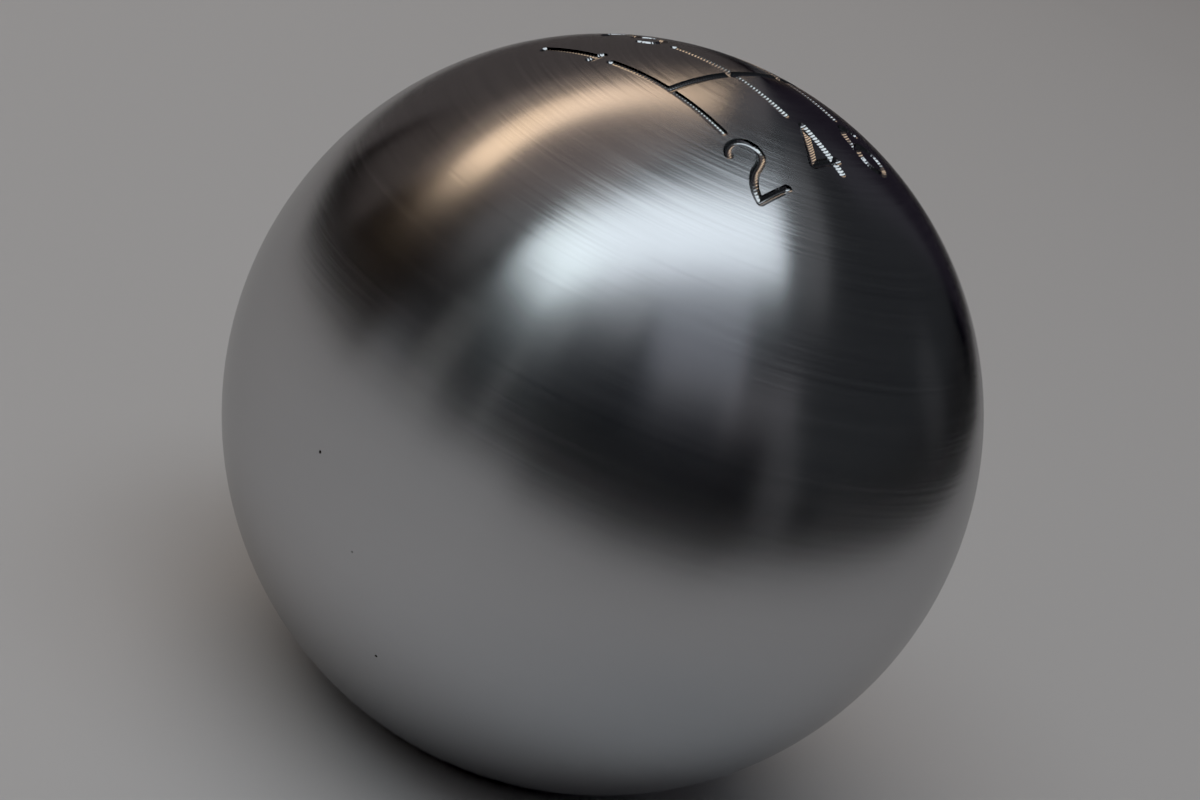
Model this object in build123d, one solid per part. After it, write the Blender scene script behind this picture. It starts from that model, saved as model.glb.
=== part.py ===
from build123d import *
import os
from math import radians, sqrt, tan

# Ball gear shift knob: one ball turned from stainless steel, with a flat foot, a blind tapped
# hole for the lever and the gate of a six speed gearbox engraved in its crown.
# Origin at the centre of the foot, +Z up, +Y forwards in the car. Millimetres.

# Ball and foot
ball_diameter = 50.0
foot_diameter = 20.0
foot_edge_radius = 1.0

# Lever hole, tapped M10 x 1.5: drilled to the tap size, with a countersunk mouth
thread_diameter = 10.0
thread_pitch = 1.5
hole_depth = 26.0
mouth_diameter = 10.5
mouth_angle = 90.0
drill_point_angle = 118.0

# Gate: columns for 1-2, 3-4 and 5-6, and a half column forwards for reverse
full_columns = 3
column_spacing = 5.8
column_length = 9.4
groove_width = 0.65
groove_depth = 0.22

# Derived sizes
ball_radius = ball_diameter / 2
foot_radius = foot_diameter / 2
ball_centre = Vector(0, 0, sqrt(ball_radius**2 - foot_radius**2))
tap_radius = (thread_diameter - thread_pitch) / 2
mouth_radius = mouth_diameter / 2
mouth_depth = (mouth_radius - tap_radius) / tan(radians(mouth_angle / 2))
drill_point_depth = tap_radius / tan(radians(drill_point_angle / 2))


def turned_ball():
    """The ball with its flat foot and the lever hole, turned as one profile about Z."""
    crown = (0, ball_centre.Z + ball_radius)
    side = (ball_radius, ball_centre.Z)
    rim = (foot_radius, 0)
    outline = ThreePointArc(crown, side, rim)
    outline += Polyline(
        rim,
        (mouth_radius, 0),
        (tap_radius, mouth_depth),
        (tap_radius, hole_depth),
        (0, hole_depth + drill_point_depth),
        crown,
    )
    section = make_face(outline)
    section = fillet(section.vertices().sort_by_distance(rim)[0], foot_edge_radius)
    return revolve(Plane.XZ * section, Axis.Z)


def gate_cutter():
    """The gate's plan, centred on the crown and cut down to a floor that follows the ball."""
    column_x = [(i - full_columns / 2) * column_spacing for i in range(full_columns + 1)]
    reverse_x = column_x.pop()
    reverse_length = column_length / 2
    plan = SlotCenterToCenter(full_columns * column_spacing, groove_width)
    for x in column_x:
        plan += Pos(x, 0) * SlotCenterToCenter(column_length, groove_width, rotation=90)
    reverse = SlotCenterToCenter(reverse_length, groove_width, rotation=90)
    plan += Pos(reverse_x, reverse_length / 2) * reverse
    prism = extrude(Plane(ball_centre) * plan, ball_diameter)
    floor = Pos(ball_centre) * Sphere(ball_radius - groove_depth)
    return prism - floor


knob = turned_ball() - gate_cutter()
knob.label = "knob"

os.makedirs("parts", exist_ok=True)
export_step(knob, "parts/knob.step")
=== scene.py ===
import math

import bpy
import numpy as np
from mathutils import Matrix, Vector
from mathutils.kdtree import KDTree


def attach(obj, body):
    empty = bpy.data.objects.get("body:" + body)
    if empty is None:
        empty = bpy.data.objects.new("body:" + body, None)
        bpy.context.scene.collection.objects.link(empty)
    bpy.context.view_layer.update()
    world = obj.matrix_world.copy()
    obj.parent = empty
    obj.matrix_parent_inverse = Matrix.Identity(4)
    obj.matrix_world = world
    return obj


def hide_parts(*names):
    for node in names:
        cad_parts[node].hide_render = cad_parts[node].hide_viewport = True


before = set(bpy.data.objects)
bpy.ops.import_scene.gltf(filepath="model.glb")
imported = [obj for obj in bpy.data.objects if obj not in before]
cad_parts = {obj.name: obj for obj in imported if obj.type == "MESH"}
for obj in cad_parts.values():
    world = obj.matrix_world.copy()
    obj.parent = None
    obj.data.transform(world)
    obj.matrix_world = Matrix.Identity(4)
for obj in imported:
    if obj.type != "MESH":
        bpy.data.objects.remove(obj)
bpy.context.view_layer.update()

# The knob is modelled in millimetres, as turned and engraved, and then brought to metres
MM = 0.001

# Ball and foot
BALL_RADIUS = 25.0
FOOT_RADIUS = 10.0
FOOT_EDGE_RADIUS = 1.0
BALL_CENTRE_Z = math.sqrt(BALL_RADIUS**2 - FOOT_RADIUS**2)
BALL_CENTRE = Vector((0, 0, BALL_CENTRE_Z * MM))
FOOT_FLAT_RADIUS = math.sqrt(
    (BALL_RADIUS - FOOT_EDGE_RADIUS) ** 2 - (BALL_CENTRE_Z - FOOT_EDGE_RADIUS) ** 2
)

# Lever hole, tapped M10 x 1.5, with a countersunk mouth and the point of its drill
THREAD_RADIUS = 5.0
THREAD_PITCH = 1.5
THREAD_ANGLE = 60
TAP_RADIUS = THREAD_RADIUS - THREAD_PITCH / 2
THREAD_FLANK = (THREAD_RADIUS - TAP_RADIUS) * math.tan(math.radians(THREAD_ANGLE / 2))
THREAD_HALF_ROOT = THREAD_PITCH / 16
THREAD_FULL_DEPTH = 20.5
THREAD_RUN_OUT = 2.5
HOLE_DEPTH = 26.0
HOLE_START = -0.5
MOUTH_RADIUS = 5.25
DRILL_ANGLE = 118
DRILL_POINT = TAP_RADIUS / math.tan(math.radians(DRILL_ANGLE / 2))

# Engraving: a stroke with a round bottom, the space its cutter clears, and the marks of the feed
STROKE_WIDTH = 0.65
STROKE_DEPTH = 0.22
CUTTER_REACH = 0.36
CUTTER_RISE = 0.15
CUTTER_TOP = 0.3
GATE_FEED = 0.24
NUMBER_FEED = 0.23
FEED_MARK_HEIGHT = 0.017

# Gate and numbers in plan, +Y forwards. The numbers' heights count from their own middle
COLUMNS = 4
COLUMN_SPACING = 5.8
COLUMN_REACH = 4.62
NUMBER_ROW = 7.68
NUMBER_TOP = 2.0
NUMBER_FOOT = -1.85

# Small pits in the ball, from its centre, with their radii
PITS = (
    ((-24.9, 1.51, -1.69), 0.12),
    ((-21.18, -5.29, -12.18), 0.12),
    ((-24.12, -2.81, -5.94), 0.06),
)

# Mesh fineness
BALL_SEGMENTS = 256
BALL_ROWS = 112
FOOT_ROW_SHARES = (0.25, 0.5, 0.75)
FOOT_EDGE_ROWS = 9
HOLE_SEGMENTS = 96
HOLE_ROW_HEIGHT = 0.1
DRILL_ROW_SHARES = (0.7, 0.4, 0.15)
PIT_SEGMENTS = 24
PIT_LATITUDES = range(-75, 76, 15)
ARC_STEPS = 36
PLAN_STEP = 0.02
STROKE_STEPS = 15
STROKE_ACROSS = np.linspace(-CUTTER_REACH, CUTTER_REACH, STROKE_STEPS)
STROKE_END_SHARES = np.array([0.9, 0.7, 0.5, 0.3, 0.15])

# How near a face has to be to count as part of the flat foot or of the ball
FOOT_TOLERANCE = 0.001
BALL_TOLERANCE = 0.01

# The faces' materials, in slot order
BALL, STROKE, HOLE, FOOT, PIT = range(5)

# Satin steel of the ball
BRUSHED_COLOUR = (0.57, 0.57, 0.58)
BRUSHED_ROUGHNESS = 0.24
BRUSHED_ANISOTROPY = 0.765
BRUSHED_EDGE_TINT = (0.8, 0.8, 0.8, 1)

# Brushing: single lines that show, and the fine ones between them, all fainter low on the ball
BRUSH_PITCH = 0.25
BRUSH_LENGTH = 35.0
BRUSH_DETAIL = 2.0
BRUSH_TILT = 0.024
BRUSH_SHADE = 0.16
FINE_PITCH = 0.1
FINE_LENGTH = 15.0
FINE_DETAIL = 0.0
FINE_TILT = 0.05
FINE_SHADE = 0.2
BRUSH_FADE = (0.2, 0.55)
LOW_BRUSHING = 0.2

# Steel of the foot, with the feed of the tool that faced it
FACED_COLOUR = (0.5, 0.5, 0.51)
FACED_ROUGHNESS = 0.3
FACED_ANISOTROPY = 0.6
FACING_PITCH = 0.12
FACING_DETAIL = 1.0
FACING_TILT = 0.3
FACING_SHADE = 0.3

# Uneven steel in the strokes, the hole and the pits. The strokes' darker colour and the pits'
# near-black one hold painted shade
CUT_DETAIL = 2.0
CUT_SHADE = 0.8

# The photograph's view, with the ball's middle in its pixels
CAMERA_AZIMUTH = -59.16
CAMERA_ELEVATION = 20.58
CAMERA_ROLL = 24.575
CAMERA_DISTANCE = 6 * BALL_RADIUS * MM
CLIP_START = 0.01
SENSOR_WIDTH = 36
LENS = 67.65
PHOTO_WIDTH = 1200
PHOTO_MIDDLE = (600, 400)
BALL_IN_PHOTO = (602.7, 414.6)
BLACK_LEVEL = 0.0078

# Table, dim room and the lights' distance
LIGHT_DISTANCE = 2.0
FLOOR_REACH = 3.0
FLOOR_COLOUR = (0.55, 0.54, 0.54)
FLOOR_ROUGHNESS = 0.7
ROOM_COLOUR = (0.002, 0.002, 0.0025, 1)
CLOTH_COLOUR = (0.01, 0.01, 0.01)

# The room past the table's edge: azimuth from the camera's side, distance and height
SURROUND_PANELS = 72
SURROUND = (
    (-180, 0.8, 0.023),
    (-140, 0.8, 0.023),
    (-120, 0.35, 0.031),
    (-76, 0.31, 0.031),
    (-69, 0.3, 0.01),
    (-42, 0.26, 0.01),
    (-36, 0.36, 0.025),
    (-20, 0.4, 0.03),
    (-12, 0.2, 0.09),
    (15, 0.15, 0.08),
    (40, 0.16, 0.05),
    (60, 0.25, 0.03),
    (90, 0.34, 0.027),
    (120, 0.4, 0.026),
    (150, 0.45, 0.025),
    (180, 0.6, 0.023),
)

# Level lights overhead: reach along and across their run, in shares of the height, and radiance
CEILING_AZIMUTH = -54.5
CEILING_LIGHTS = (
    ("overhead", (-0.38, 0.6), (-0.08, 0.38), (1.49, 1.64, 1.75)),
    ("overhead_end", (0.6, 1.13), (-0.11, 0.37), (1.7, 1.92, 1.99)),
)

# Soft lights facing the ball: azimuth from the camera, elevation and roll, size share, radiance
SOFTBOXES = (
    ("warm_strip", (-134, 47, -13.5), (1.05, 0.18), (1.48, 1.08, 0.72)),
    ("warm_end", (-105, 38, -17), (0.3, 0.2), (0.47, 0.355, 0.25)),
    ("warm_wall", (-156, 28, 0), (0.85, 1.1), (0.09, 0.08, 0.078)),
    ("warm_edge", (-118, 24, 0), (0.4, 0.6), (0.07, 0.061, 0.058)),
    ("warm_slope", (-122, 60, 0), (0.91, 0.54), (0.17, 0.145, 0.14)),
    ("warm_under", (-128, 36, -17), (0.8, 0.16), (0.16, 0.125, 0.1)),
    ("front_wall", (25, 56, 0), (0.48, 0.6), (0.2, 0.21, 0.24)),
    ("front_end", (-12, 52, 0), (0.26, 0.22), (0.26, 0.27, 0.29)),
    ("window_side", (-26, 38, 0), (0.12, 0.26), (0.12, 0.125, 0.13)),
    ("front_under", (27, 37, 0), (0.42, 0.14), (0.13, 0.13, 0.136)),
    ("right_wall", (107, 40, 0), (2.1, 1.0), (0.034, 0.036, 0.038)),
    ("right_slope", (124, 61, 0), (0.8, 0.17), (0.1, 0.102, 0.106)),
    ("right_low", (110, 7, 0), (1.5, 0.22), (0.022, 0.022, 0.022)),
    ("right_end", (50, 34, 0), (0.39, 0.18), (0.13, 0.126, 0.135)),
    ("right_streak", (57, 12, 0), (0.2, 0.45), (0.05, 0.05, 0.052)),
    ("right_spot", (122, 16, 0), (0.2, 0.3), (0.02, 0.02, 0.021)),
    ("far_right", (165, 21, 0), (0.48, 0.72), (0.028, 0.025, 0.032)),
    ("left_wall", (-52, 12, 0), (0.2, 0.5), (0.075, 0.075, 0.073)),
    ("left_glow", (-83, 38, 0), (0.6, 0.42), (0.042, 0.04, 0.039)),
    ("left_streak", (-31, 14, 0), (0.07, 0.5), (0.07, 0.07, 0.07)),
    ("left_end", (-65, 1, 0), (0.2, 0.22), (0.06, 0.064, 0.07)),
    ("left_slope", (-73, 45, 0), (0.2, 0.4), (0.1, 0.105, 0.11)),
)

# Lights that soften the shadow on the table, and that the ball doesn't mirror
FILL_LIGHTS = (
    ("floor_fill", (-62, 58, 0), (1.5, 1.5), (0.51, 0.505, 0.5)),
    ("low_fill", (-20, 14, 0), (1.0, 0.4), (0.17, 0.17, 0.17)),
)


def unit(vectors):
    """The vectors at length 1."""
    return vectors / np.linalg.norm(vectors, axis=1)[:, None]


def arc(centre, radii, start, end):
    """Points along an elliptic arc of the plan, between two angles in degrees."""
    angles = np.radians(np.linspace(start, end, ARC_STEPS))
    x = centre[0] + radii[0] * np.cos(angles)
    y = centre[1] + radii[1] * np.sin(angles)
    return list(zip(x, y))


def glyphs():
    """Centre lines of the engraved numbers and the R, each about its own middle."""
    top = NUMBER_TOP
    foot = NUMBER_FOOT
    return {
        "1": [
            [(0.2, top), (0.2, foot)],
            [(0.2, top), (-0.05, top - 0.1)],
            [(-0.45, foot), (0.6, foot)],
        ],
        "2": [
            arc((0.05, 1.05), (1.06, 1.0), 153, -52) + arc((1.0, foot), (2.05, 2.0), 108, 180),
            [(-1.05, foot), (1.2, foot)],
        ],
        "3": [
            arc((0.0, 1.0), (0.95, 1.0), 155, -90),
            arc((0.0, -0.95), (1.1, 0.95), 90, -165),
        ],
        "4": [
            [(0.68, top), (0.68, foot)],
            [(0.68, top), (-1.4, -0.97)],
            [(-1.4, -0.97), (1.15, -0.97)],
        ],
        "5": [
            [(0.85, top), (-0.75, top)],
            [(-0.75, top), (-0.95, 0.2)],
            arc((0.0, -0.65), (1.1, 1.2), 140, -150),
        ],
        "6": [
            arc((0.15, 0.25), (1.27, 1.95), 50, 180) + arc((0.0, -0.55), (1.12, 1.05), 180, 360),
            arc((0.0, -0.55), (1.12, 1.05), 0, 180),
        ],
        "R": [
            [(-0.95, foot), (-0.95, top)],
            [(-0.95, top), (0.0, top)] + arc((0.0, 1.05), (0.95, 0.95), 90, -90) + [(-0.95, 0.1)],
            [(-0.1, 0.1), (1.0, foot)],
        ],
    }


def engraved_strokes():
    """Every stroke as plan points, with the feed that it was cut at."""
    columns = [(i - (COLUMNS - 1) / 2) * COLUMN_SPACING for i in range(COLUMNS)]
    lines = [[(x, -COLUMN_REACH), (x, COLUMN_REACH)] for x in columns[:-1]]
    lines.append([(columns[0], 0.0), (columns[-1], 0.0)])
    lines.append([(columns[-1], 0.0), (columns[-1], COLUMN_REACH)])
    strokes = [(line, GATE_FEED) for line in lines]
    for i, glyph in enumerate(glyphs().values()):
        row = NUMBER_ROW if i % 2 == 0 else -NUMBER_ROW
        for line in glyph:
            placed = [(x + columns[i // 2], y + row) for x, y in line]
            strokes.append((placed, NUMBER_FEED))
    return strokes


def stroke_height(beyond):
    """Heights of the stroke's section over the ball's surface, at a distance past its end."""
    reach = np.hypot(STROKE_ACROSS, beyond) / (STROKE_WIDTH / 2)
    return np.minimum(STROKE_DEPTH * (reach**2 - 1), CUTTER_RISE)


class Stroke:
    """A stroke's feed marks on the ball, each with its own directions."""

    def __init__(self, line, feed):
        plan = []
        for (ax, ay), (bx, by) in zip(line, line[1:]):
            steps = max(2, int(math.hypot(bx - ax, by - ay) / PLAN_STEP))
            for t in np.linspace(0.0, 1.0, steps, endpoint=False):
                plan.append((ax + (bx - ax) * t, ay + (by - ay) * t))
        plan.append(line[-1])
        plan = np.array(plan)
        path = np.column_stack([plan, np.sqrt(BALL_RADIUS**2 - (plan**2).sum(axis=1))])
        run = np.concatenate([[0.0], np.cumsum(np.linalg.norm(np.diff(path, axis=0), axis=1))])
        count = max(2, round(run[-1] / feed) + 1)
        marks = np.linspace(0.0, run[-1], count)
        places = np.column_stack([np.interp(marks, run, path[:, k]) for k in range(3)])
        self.feed = run[-1] / (count - 1)
        self.up = unit(places)
        self.places = self.up * BALL_RADIUS + (0, 0, BALL_CENTRE_Z)
        self.side = unit(np.cross(self.up, np.gradient(places, axis=0)))
        self.ahead = np.cross(self.side, self.up)
        self.end = np.zeros(count)
        self.end[0] = -1
        self.end[-1] = 1

    def skin(self):
        """The space that the cutter clears, with a cone at each end."""
        rows = []
        between_marks = FEED_MARK_HEIGHT * np.abs(STROKE_ACROSS) / (STROKE_WIDTH / 2)
        beyond = STROKE_END_SHARES * CUTTER_REACH
        for distance in beyond:
            rows.append(self.row(0, -distance, stroke_height(distance)))
        for i in range(len(self.places)):
            rows.append(self.row(i, 0.0, stroke_height(0.0)))
            if i + 1 < len(self.places):
                rows.append(self.row(i, self.feed / 2, stroke_height(0.0) + between_marks))
        for distance in beyond[::-1]:
            rows.append(self.row(-1, distance, stroke_height(distance)))
        first = self.places[0] - self.ahead[0] * CUTTER_REACH + self.up[0] * CUTTER_TOP / 2
        last = self.places[-1] + self.ahead[-1] * CUTTER_REACH + self.up[-1] * CUTTER_TOP / 2
        return closed_rows(first, rows, last)

    def row(self, i, ahead, heights):
        """One section across the stroke, at or ahead of a feed mark."""
        across = np.concatenate([[CUTTER_REACH, -CUTTER_REACH], STROKE_ACROSS])
        heights = np.concatenate([[CUTTER_TOP, CUTTER_TOP], heights])
        middle = self.places[i] + self.ahead[i] * ahead
        return middle + np.outer(across, self.side[i]) + np.outer(heights, self.up[i])


def stroke_normals(strokes, faces, places):
    """Normals inside the strokes, at places on faces whose middles are given."""
    marks = {}
    for name in ("places", "up", "side", "ahead", "end"):
        marks[name] = np.concatenate([getattr(stroke, name) for stroke in strokes])
    feeds = np.concatenate([np.full(len(stroke.places), stroke.feed) for stroke in strokes])
    tree = KDTree(len(feeds))
    for i, place in enumerate(marks["places"]):
        tree.insert(place, i)
    tree.balance()
    nearest = np.array([tree.find(face)[1] for face in faces])
    up, side, ahead = (marks[name][nearest] for name in ("up", "side", "ahead"))
    offset = places - marks["places"][nearest]
    u = (offset * side).sum(axis=1)
    v = (offset * ahead).sum(axis=1)
    half = STROKE_WIDTH / 2
    steepness = 2 * STROKE_DEPTH / half**2
    past_end = v * marks["end"][nearest] > 0
    # A feed mark's height grows with the square of the way from its middle
    mark_slope = 8 * FEED_MARK_HEIGHT * np.abs(u) / half * v / feeds[nearest] ** 2
    slope_u = steepness * u
    slope_v = np.where(past_end, steepness * v, mark_slope)
    return unit(up - side * slope_u[:, None] - ahead * slope_v[:, None])


def closed_rows(first, rows, last):
    """Vertices and faces of a closed skin: a point, rings of equal count, and a point."""
    count = len(rows[0])
    verts = [tuple(first)] + [tuple(p) for row in rows for p in row] + [tuple(last)]
    faces = []
    for j in range(count):
        k = (j + 1) % count
        faces.append((0, 1 + k, 1 + j))
        for i in range(len(rows) - 1):
            a, b = 1 + i * count, 1 + (i + 1) * count
            faces.append((a + j, a + k, b + k, b + j))
        base = 1 + (len(rows) - 1) * count
        faces.append((base + j, base + k, len(verts) - 1))
    return verts, faces


def turned_ring(radius, z, segments):
    """A ring about the knob's axis."""
    turns = np.linspace(0, 2 * math.pi, segments, endpoint=False)
    return [(radius * math.cos(t), radius * math.sin(t), z) for t in turns]


def ball_skin():
    """The turned ball with its rounded foot edge and flat foot, from the foot up."""
    edge_turn = math.asin(FOOT_FLAT_RADIUS / (BALL_RADIUS - FOOT_EDGE_RADIUS))
    outline = [(FOOT_FLAT_RADIUS * share, 0.0) for share in FOOT_ROW_SHARES]
    for a in np.linspace(0.0, edge_turn, FOOT_EDGE_ROWS):
        x = FOOT_FLAT_RADIUS + FOOT_EDGE_RADIUS * math.sin(a)
        outline.append((x, FOOT_EDGE_RADIUS * (1 - math.cos(a))))
    for a in np.linspace(edge_turn, math.pi, BALL_ROWS)[1:-1]:
        outline.append((BALL_RADIUS * math.sin(a), BALL_CENTRE_Z - BALL_RADIUS * math.cos(a)))
    rows = [turned_ring(x, z, BALL_SEGMENTS) for x, z in outline]
    return closed_rows((0, 0, 0), rows, (0, 0, BALL_CENTRE_Z + BALL_RADIUS))


def thread_radius(turn, z):
    """Radius of the tapped wall, with the thread running out before the bottom."""
    phase = (z / THREAD_PITCH - turn / (2 * math.pi)) % 1.0
    from_root = min(phase, 1.0 - phase) * THREAD_PITCH
    depth = 1.0 - min(1.0, max(0.0, (from_root - THREAD_HALF_ROOT) / THREAD_FLANK))
    left = 1.0 - min(1.0, max(0.0, (z - THREAD_FULL_DEPTH) / THREAD_RUN_OUT))
    return TAP_RADIUS + (THREAD_RADIUS - TAP_RADIUS) * depth * left


def hole_skin():
    """The space of the lever hole: countersunk mouth, thread, plain end and drill point."""
    turns = np.linspace(0, 2 * math.pi, HOLE_SEGMENTS, endpoint=False)
    row_count = int((HOLE_DEPTH - HOLE_START) / HOLE_ROW_HEIGHT)
    rows = []
    for z in np.linspace(HOLE_START, HOLE_DEPTH, row_count):
        ring = []
        for t in turns:
            radius = max(thread_radius(t, z), MOUTH_RADIUS - z)
            ring.append((radius * math.cos(t), radius * math.sin(t), z))
        rows.append(ring)
    for share in DRILL_ROW_SHARES:
        z = HOLE_DEPTH + DRILL_POINT * (1 - share)
        rows.append(turned_ring(TAP_RADIUS * share, z, HOLE_SEGMENTS))
    return closed_rows((0, 0, HOLE_START), rows, (0, 0, HOLE_DEPTH + DRILL_POINT))


def pit_skin(place, radius):
    """A small round cutter that dents the ball to half its own radius."""
    outward = np.array(place) / np.linalg.norm(place)
    middle = outward * (BALL_RADIUS + radius / 2) + np.array([0, 0, BALL_CENTRE_Z])
    rows = []
    for a in np.radians(PIT_LATITUDES):
        ring = turned_ring(radius * math.cos(a), radius * math.sin(a), PIT_SEGMENTS)
        rows.append([middle + np.array(point) for point in ring])
    pole = np.array([0, 0, radius])
    return closed_rows(middle - pole, rows, middle + pole)


def add_object(name, data):
    """An object in the scene, from its data."""
    thing = bpy.data.objects.new(name, data)
    bpy.context.scene.collection.objects.link(thing)
    return thing


def mesh_object(name, skin, materials, index=0):
    """A mesh object from vertices and faces, all in one of the materials."""
    mesh = bpy.data.meshes.new(name)
    mesh.from_pydata(skin[0], [], skin[1])
    for material in materials:
        mesh.materials.append(material)
    mesh.polygons.foreach_set("material_index", [index] * len(mesh.polygons))
    return add_object(name, mesh)


def cut_away(body, cutter):
    """Takes the cutter's shape out of the body and deletes the cutter."""
    tool = body.modifiers.new("cut", "BOOLEAN")
    tool.operation = "DIFFERENCE"
    tool.solver = "MANIFOLD"
    tool.object = cutter
    cut_body = body.evaluated_get(bpy.context.evaluated_depsgraph_get())
    result = bpy.data.meshes.new_from_object(cut_body)
    body.modifiers.clear()
    body.data = result
    bpy.data.objects.remove(cutter)


def mesh_values(items, name, width, kind=float):
    """One property of all vertices, corners or faces of a mesh, as an array."""
    values = np.empty(len(items) * width, kind)
    items.foreach_get(name, values)
    return values.reshape(-1, width) if width > 1 else values


def shade(body, strokes):
    """True normals: round the ball and the foot's edge, in the strokes, and smooth in the hole."""
    mesh = body.data
    points = mesh_values(mesh.vertices, "co", 3)
    corner = mesh_values(mesh.loops, "vertex_index", 1, int)
    kinds = mesh_values(mesh.polygons, "material_index", 1, int)
    sizes = mesh_values(mesh.polygons, "loop_total", 1, int)
    middles = mesh_values(mesh.polygons, "center", 3)
    kinds[(kinds == BALL) & (middles[:, 2] < FOOT_TOLERANCE)] = FOOT
    mesh.polygons.foreach_set("material_index", kinds)
    owner = np.repeat(np.arange(len(sizes)), sizes)
    kind = kinds[owner]
    normals = mesh_values(mesh.polygons, "normal", 3)[owner]
    place = points[corner]
    radial = place - (0, 0, BALL_CENTRE_Z)
    reach = np.linalg.norm(radial, axis=1)
    on_ball = (kind == BALL) & (np.abs(reach - BALL_RADIUS) < BALL_TOLERANCE)
    normals[on_ball] = unit(radial[on_ball])
    on_edge = (kind == BALL) & ~on_ball
    ring = unit(place[on_edge] * (1, 1, 0)) * FOOT_FLAT_RADIUS + (0, 0, FOOT_EDGE_RADIUS)
    normals[on_edge] = unit(place[on_edge] - ring)
    in_stroke = kind == STROKE
    normals[in_stroke] = stroke_normals(strokes, middles[owner[in_stroke]], place[in_stroke])
    in_hole = (kind == HOLE) | (kind == PIT)
    shared = np.zeros_like(points)
    np.add.at(shared, corner[in_hole], normals[in_hole])
    normals[in_hole] = unit(shared[corner[in_hole]])
    mesh.polygons.foreach_set("use_smooth", [True] * len(mesh.polygons))
    mesh.normals_split_custom_set(normals.tolist())


def make_knob(materials):
    """The whole knob as one mesh."""
    body = mesh_object("knob_body", ball_skin(), materials, BALL)
    cut_away(body, mesh_object("hole", hole_skin(), materials, HOLE))
    strokes = [Stroke(line, feed) for line, feed in engraved_strokes()]
    for stroke in strokes:
        cut_away(body, mesh_object("stroke", stroke.skin(), materials, STROKE))
    for place, radius in PITS:
        cut_away(body, mesh_object("pit", pit_skin(place, radius), materials, PIT))
    shade(body, strokes)
    body.data.transform(Matrix.Scale(MM, 4))
    return body


def plain_material(name, colour, roughness):
    """A material with its constants on the shader itself."""
    material = bpy.data.materials.new(name)
    material.use_nodes = True
    shader = material.node_tree.nodes["Principled BSDF"]
    shader.inputs["Base Color"].default_value = (*colour, 1)
    shader.inputs["Roughness"].default_value = roughness
    return material, shader


def plain_metal(name, colour, roughness):
    """A metal with its constants on the shader itself."""
    material, shader = plain_material(name, colour, roughness)
    shader.inputs["Metallic"].default_value = 1
    return material, shader


class Nodes:
    """Short calls that add nodes to one material and link them up."""

    def __init__(self, material):
        self.nodes = material.node_tree.nodes
        self.links = material.node_tree.links

    def add(self, kind, inputs, **settings):
        """Adds a node, sets it up, and links or fills its inputs. Returns its first output."""
        node = self.nodes.new(kind)
        for name, value in settings.items():
            setattr(node, name, value)
        for socket, value in inputs.items():
            if isinstance(value, bpy.types.NodeSocket):
                self.links.new(value, node.inputs[socket])
            else:
                node.inputs[socket].default_value = value
        return node.outputs[0]

    def vector(self, operation, *inputs):
        """The result of an operation on vectors."""
        return self.add("ShaderNodeVectorMath", dict(enumerate(inputs)), operation=operation)

    def number(self, operation, *inputs):
        """The result of an operation on numbers."""
        return self.add("ShaderNodeMath", dict(enumerate(inputs)), operation=operation)

    def scaled(self, vector, factor):
        """A vector times a number."""
        return self.add("ShaderNodeVectorMath", {0: vector, "Scale": factor}, operation="SCALE")

    def place(self):
        """Places on the object, in its own frame."""
        return self.add("ShaderNodeTexCoord", {}).node.outputs["Object"]

    def uneven(self, noise):
        """Noise about zero, from the inputs of its node."""
        return self.number("SUBTRACT", self.add("ShaderNodeTexNoise", noise), 0.5)

    def lines(self, across, along, detail):
        """Noise drawn out along a path: a number across the lines and a vector along them."""
        place = self.vector("ADD", along, self.add("ShaderNodeCombineXYZ", {"Z": across}))
        return self.uneven({"Vector": place, "Scale": 1.0, "Detail": detail, "Roughness": 0.6})

    def leaning(self, shader, direction, amount):
        """Leans the shader's normal in a direction."""
        normal = self.add("ShaderNodeNewGeometry", {}).node.outputs["Normal"]
        lean = self.vector("ADD", normal, self.scaled(direction, amount))
        self.links.new(self.vector("NORMALIZE", lean), shader.inputs["Normal"])

    def shaded(self, shader, share):
        """Varies the shader's colour and roughness by a share of what they are."""
        colour = tuple(shader.inputs["Base Color"].default_value)[:3]
        roughness = shader.inputs["Roughness"].default_value
        factor = self.number("ADD", share, 1.0)
        self.links.new(self.scaled(colour, factor), shader.inputs["Base Color"])
        self.links.new(self.number("MULTIPLY", factor, roughness), shader.inputs["Roughness"])


def turned_about_axis(nodes, shader, anisotropy):
    """Draws a metal's gloss out across the marks of a tool that went round the knob's axis."""
    quarter_turn = 0.25
    tangent = nodes.add("ShaderNodeTangent", {}, direction_type="RADIAL", axis="Z")
    nodes.links.new(tangent, shader.inputs["Tangent"])
    shader.inputs["Anisotropic"].default_value = anisotropy
    shader.inputs["Anisotropic Rotation"].default_value = quarter_turn


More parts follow.
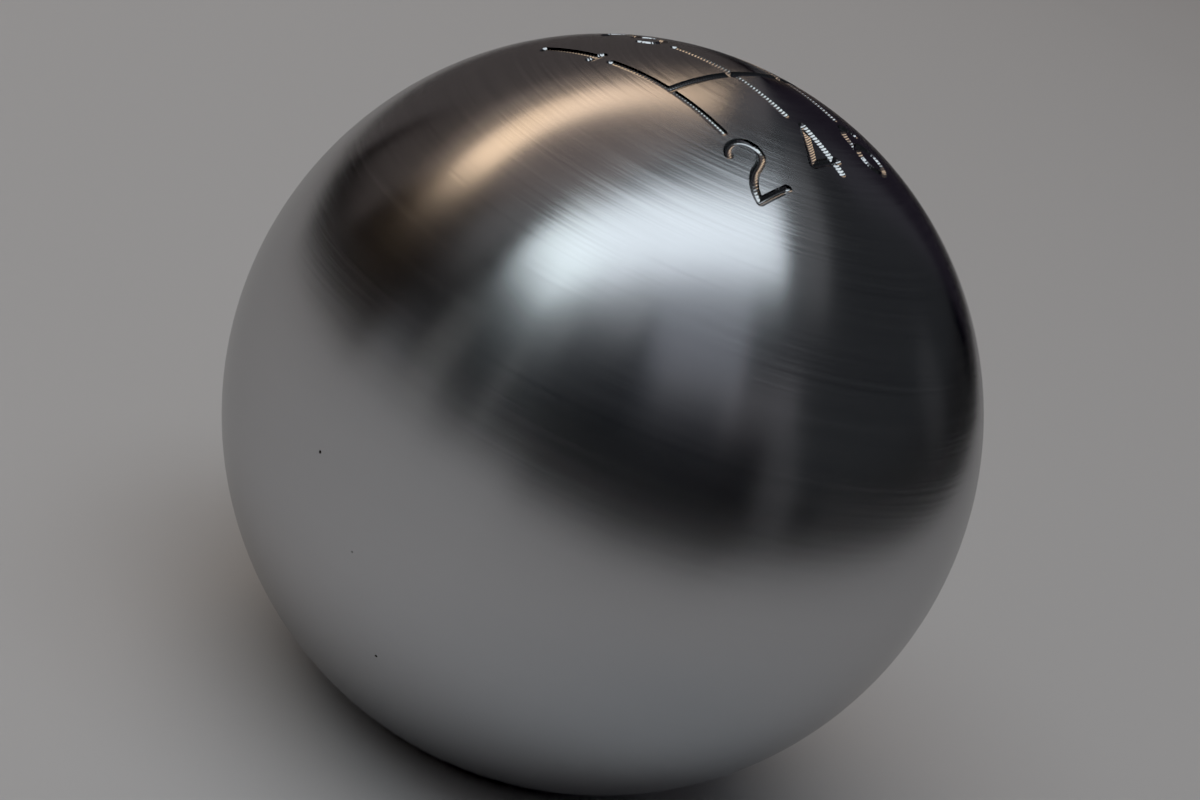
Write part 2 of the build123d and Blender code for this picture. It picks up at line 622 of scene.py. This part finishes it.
def brushed_steel():
    """Satin steel, brushed round the axis, so that reflections stretch along the meridians."""
    material, shader = plain_metal("brushed_steel", BRUSHED_COLOUR, BRUSHED_ROUGHNESS)
    shader.inputs["Specular Tint"].default_value = BRUSHED_EDGE_TINT
    nodes = Nodes(material)
    turned_about_axis(nodes, shader, BRUSHED_ANISOTROPY)
    outward = nodes.vector("NORMALIZE", nodes.vector("SUBTRACT", nodes.place(), BALL_CENTRE))
    level = nodes.add("ShaderNodeSeparateXYZ", {0: outward}).node.outputs["Z"]
    from_crown = nodes.number("ARCCOSINE", level)
    round_axis = nodes.vector("NORMALIZE", nodes.vector("MULTIPLY", outward, (1, 1, 0)))
    fade = {"From Min": BRUSH_FADE[0], "From Max": BRUSH_FADE[1], "To Min": LOW_BRUSHING}
    shown = nodes.add("ShaderNodeMapRange", {"Value": level, **fade})

    def brushing(pitch, length, detail):
        """Lines round the axis, at a pitch across and a length along them."""
        across = nodes.number("MULTIPLY", from_crown, BALL_RADIUS / pitch)
        along = nodes.scaled(round_axis, BALL_RADIUS / length)
        return nodes.number("MULTIPLY", nodes.lines(across, along, detail), shown)

    single = brushing(BRUSH_PITCH, BRUSH_LENGTH, BRUSH_DETAIL)
    fine = brushing(FINE_PITCH, FINE_LENGTH, FINE_DETAIL)
    tilt = nodes.number("MULTIPLY", single, BRUSH_TILT)
    tilt = nodes.number("MULTIPLY_ADD", fine, FINE_TILT, tilt)
    sideways = nodes.vector("NORMALIZE", nodes.vector("CROSS_PRODUCT", (0, 0, 1), outward))
    nodes.leaning(shader, nodes.vector("CROSS_PRODUCT", sideways, outward), tilt)
    share = nodes.number("MULTIPLY", single, BRUSH_SHADE)
    nodes.shaded(shader, nodes.number("MULTIPLY_ADD", fine, FINE_SHADE, share))
    return material


def faced_steel():
    """The foot, faced on the lathe, with the tool's rings."""
    material, shader = plain_metal("faced_steel", FACED_COLOUR, FACED_ROUGHNESS)
    nodes = Nodes(material)
    turned_about_axis(nodes, shader, FACED_ANISOTROPY)
    outward = nodes.vector("MULTIPLY", nodes.place(), (1, 1, 0))
    radius = nodes.vector("LENGTH", outward).node.outputs["Value"]
    across = nodes.number("MULTIPLY", radius, 1 / (FACING_PITCH * MM))
    rings = nodes.lines(across, (0, 0, 0), FACING_DETAIL)
    tilt = nodes.number("MULTIPLY", rings, FACING_TILT)
    nodes.leaning(shader, nodes.vector("NORMALIZE", outward), tilt)
    nodes.shaded(shader, nodes.number("MULTIPLY", rings, FACING_SHADE))
    return material


def cut_steel(name, colour, roughness, grain):
    """Bare metal below the ball's surface, with a fine unevenness of the given grain. For the
    strokes and the pits the colour given is darkened with painted shade.
    """
    material, shader = plain_metal(name, colour, roughness)
    nodes = Nodes(material)
    noise = {"Vector": nodes.place(), "Scale": 1 / (grain * MM), "Detail": CUT_DETAIL}
    nodes.shaded(shader, nodes.number("MULTIPLY", nodes.uneven(noise), CUT_SHADE))
    return material


def view_axes(azimuth, elevation, roll):
    """Back, right and up of a view of the ball, in degrees. Azimuth 0 looks along +Y."""
    a, e, r = (math.radians(v) for v in (azimuth, elevation, roll))
    back = Vector((math.sin(a) * math.cos(e), -math.cos(a) * math.cos(e), math.sin(e)))
    level = Vector((math.cos(a), math.sin(a), 0))
    up = back.cross(level)
    return back, level * math.cos(r) + up * math.sin(r), up * math.cos(r) - level * math.sin(r)


def facing_ball(azimuth, elevation, roll, distance):
    """Place and turn of something that faces the ball from a distance."""
    back, right, up = view_axes(azimuth, elevation, roll)
    turn = Matrix((right, up, back)).transposed().to_4x4()
    return Matrix.Translation(BALL_CENTRE + back * distance) @ turn


def area_light(name, place, size, radiance, mirrored):
    """A soft rectangular light, sized as a share of its distance, that the camera doesn't see."""
    strength = max(radiance)
    data = bpy.data.lights.new(name, "AREA")
    data.shape = "RECTANGLE"
    data.size = size[0] * LIGHT_DISTANCE
    data.size_y = size[1] * LIGHT_DISTANCE
    data.color = [channel / strength for channel in radiance]
    data.energy = math.pi * data.size * data.size_y * strength
    light = add_object(name, data)
    light.matrix_world = place
    light.visible_camera = False
    light.visible_glossy = mirrored


def ceiling_light(name, along, across, radiance):
    """A level light overhead, from one end to the other of its run past the ball's axis."""
    turn = Matrix.Rotation(math.radians(CAMERA_AZIMUTH + CEILING_AZIMUTH - 90), 4, "Z")
    middle = Vector((sum(along) / 2, sum(across) / 2, 1)) * LIGHT_DISTANCE
    place = Matrix.Translation(BALL_CENTRE + turn @ middle) @ turn
    size = (along[1] - along[0], across[1] - across[0])
    area_light(name, place, size, radiance, mirrored=True)


def softbox(name, direction, size, radiance, mirrored):
    """A light that faces the ball. Its azimuth counts from the camera's side."""
    azimuth, elevation, roll = direction
    place = facing_ball(CAMERA_AZIMUTH + azimuth, elevation, roll, LIGHT_DISTANCE)
    area_light(name, place, size, radiance, mirrored)


def make_lights():
    """A dim room with a long soft light overhead and a warm one behind on the left."""
    world = bpy.data.worlds.new("room")
    bpy.context.scene.world = world
    world.use_nodes = True
    world.node_tree.nodes["Background"].inputs["Color"].default_value = ROOM_COLOUR
    for light in CEILING_LIGHTS:
        ceiling_light(*light)
    for light in SOFTBOXES:
        softbox(*light, mirrored=True)
    for light in FILL_LIGHTS:
        softbox(*light, mirrored=False)


def make_floor():
    """A plain pale floor under the foot."""
    material, _ = plain_material("pale_floor", FLOOR_COLOUR, FLOOR_ROUGHNESS)
    signs = ((-1, -1), (1, -1), (1, 1), (-1, 1))
    corners = [(x * FLOOR_REACH, y * FLOOR_REACH, 0) for x, y in signs]
    floor = mesh_object("floor", (corners, [(0, 1, 2, 3)]), [material])


def make_surround():
    """The dim room past the table's edge, as a low dark band that only the ball mirrors."""
    material, shader = plain_material("dark_cloth", CLOTH_COLOUR, 1.0)
    shader.inputs["Specular IOR Level"].default_value = 0.0
    corner_azimuths, corner_distances, corner_heights = zip(*SURROUND)
    azimuths = np.linspace(-180, 180, SURROUND_PANELS, endpoint=False)
    distances = np.interp(azimuths, corner_azimuths, corner_distances)
    heights = np.interp(azimuths, corner_azimuths, corner_heights)
    verts = []
    for azimuth, distance, height in zip(azimuths, distances, heights):
        back = view_axes(CAMERA_AZIMUTH + azimuth, 0, 0)[0]
        verts += [(back.x * distance, back.y * distance, z) for z in (0.0, height)]
    count = len(verts)
    faces = [(i, (i + 2) % count, (i + 3) % count, i + 1) for i in range(0, count, 2)]
    surround = mesh_object("surround", (verts, faces), [material])
    surround.visible_camera = False
    surround.visible_shadow = False
    surround.visible_diffuse = False


def place_camera():
    """The photograph's view: the ball's middle and the camera's roll as measured there."""
    data = bpy.data.cameras.new("camera")
    data.sensor_width = SENSOR_WIDTH
    data.lens = LENS
    data.clip_start = CLIP_START
    data.shift_x = (PHOTO_MIDDLE[0] - BALL_IN_PHOTO[0]) / PHOTO_WIDTH
    data.shift_y = (BALL_IN_PHOTO[1] - PHOTO_MIDDLE[1]) / PHOTO_WIDTH
    camera = add_object("camera", data)
    camera.matrix_world = facing_ball(
        CAMERA_AZIMUTH, CAMERA_ELEVATION, CAMERA_ROLL, CAMERA_DISTANCE
    )
    bpy.context.scene.camera = camera


def set_look():
    """Plain colours, with blacks as deep as the photograph's."""
    look = bpy.context.scene.view_settings
    look.view_transform = "Standard"
    look.use_curve_mapping = True
    look.curve_mapping.black_level = (BLACK_LEVEL, BLACK_LEVEL, BLACK_LEVEL)


materials = [
    brushed_steel(),
    # The strokes' steel is darker than the ball's: painted shade that dims the reflections in the
    # grooves
    cut_steel("engraved_painted_shade_steel", (0.41, 0.41, 0.415), roughness=0.15, grain=0.1),
    cut_steel("tapped_steel", (0.4, 0.4, 0.41), roughness=0.3, grain=0.3),
    faced_steel(),
    # The pits' near-black colour is painted shade in the dents
    cut_steel("pit_painted_shade_steel", (0.06, 0.056, 0.05), roughness=0.6, grain=0.05),
]
knob = make_knob(materials)
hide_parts("knob")
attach(knob, "root")
make_floor()
make_lights()
make_surround()
place_camera()
set_look()
